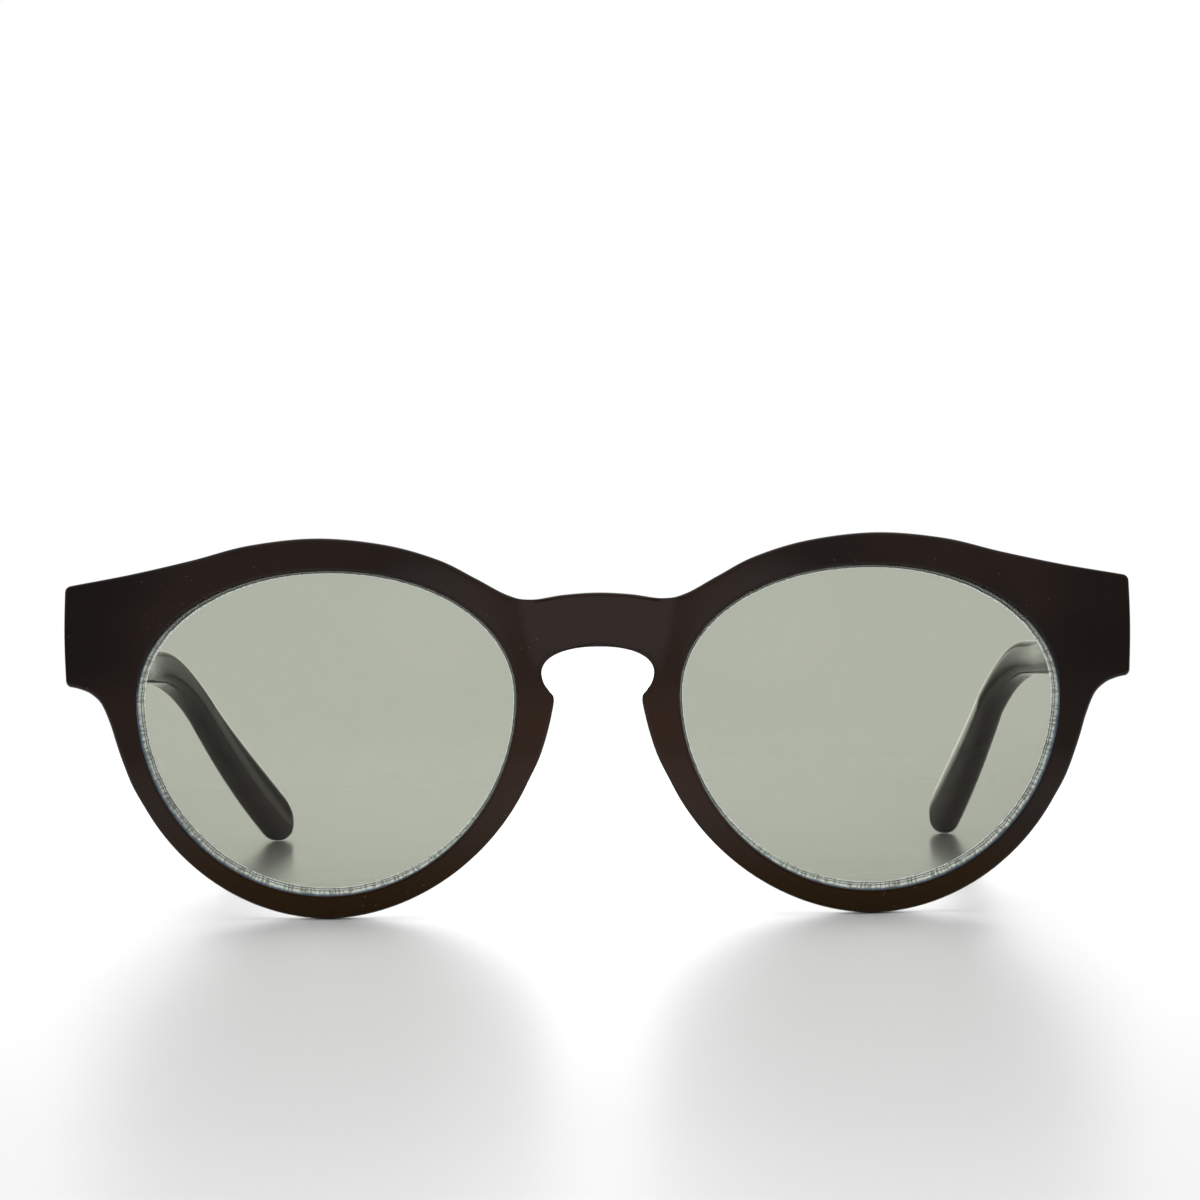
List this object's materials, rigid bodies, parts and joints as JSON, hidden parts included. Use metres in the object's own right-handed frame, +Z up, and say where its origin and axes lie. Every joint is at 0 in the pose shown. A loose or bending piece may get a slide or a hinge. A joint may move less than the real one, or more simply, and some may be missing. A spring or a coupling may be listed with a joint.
{
  "type": "round sunglasses",
  "caption": "Round-eyed sunglasses with a keyhole bridge, grey-green tinted lenses and folding temples that hook behind the ears.",
  "frame": {"origin": "on the table plane, in the middle of the overall width and depth as the glasses stand open", "axes": "+X towards the right of the picture, along the width of the front; +Y backwards along the temples; +Z up. The front faces -Y."},
  "size_m": [0.1426, 0.1374, 0.0504],
  "materials": {
    "frame": "polished, very dark brown",
    "lens": "clear, evenly tinted grey-green",
    "hinge_metal": "satin, nickel-coloured",
    "core_metal": "drawn wire"
  },
  "bodies": {
    "front": {"front_frame": "frame", "lens_left": "lens", "lens_right": "lens", "nose_pad_left": "frame", "nose_pad_right": "frame", "hinge_front_left": "hinge_metal", "hinge_front_right": "hinge_metal", "hinge_screw_left": "hinge_metal", "hinge_screw_right": "hinge_metal"},
    "left_temple": {"temple_left": "frame", "hinge_temple_left": "hinge_metal", "core_wire_left": "core_metal"},
    "right_temple": {"temple_right": "frame", "hinge_temple_right": "hinge_metal", "core_wire_right": "core_metal"}
  },
  "joints": [
    {"name": "left_fold", "type": "hinge", "parent": "front", "child": "left_temple", "pos_m": [-0.06555, -0.05486, 0.03738], "axis": [0, -0.0384, -0.9993], "range_deg": [0, 81]},
    {"name": "right_fold", "type": "hinge", "parent": "front", "child": "right_temple", "pos_m": [0.06555, -0.05486, 0.03738], "axis": [0, 0.0384, 0.9993], "range_deg": [0, 86]}
  ]
}
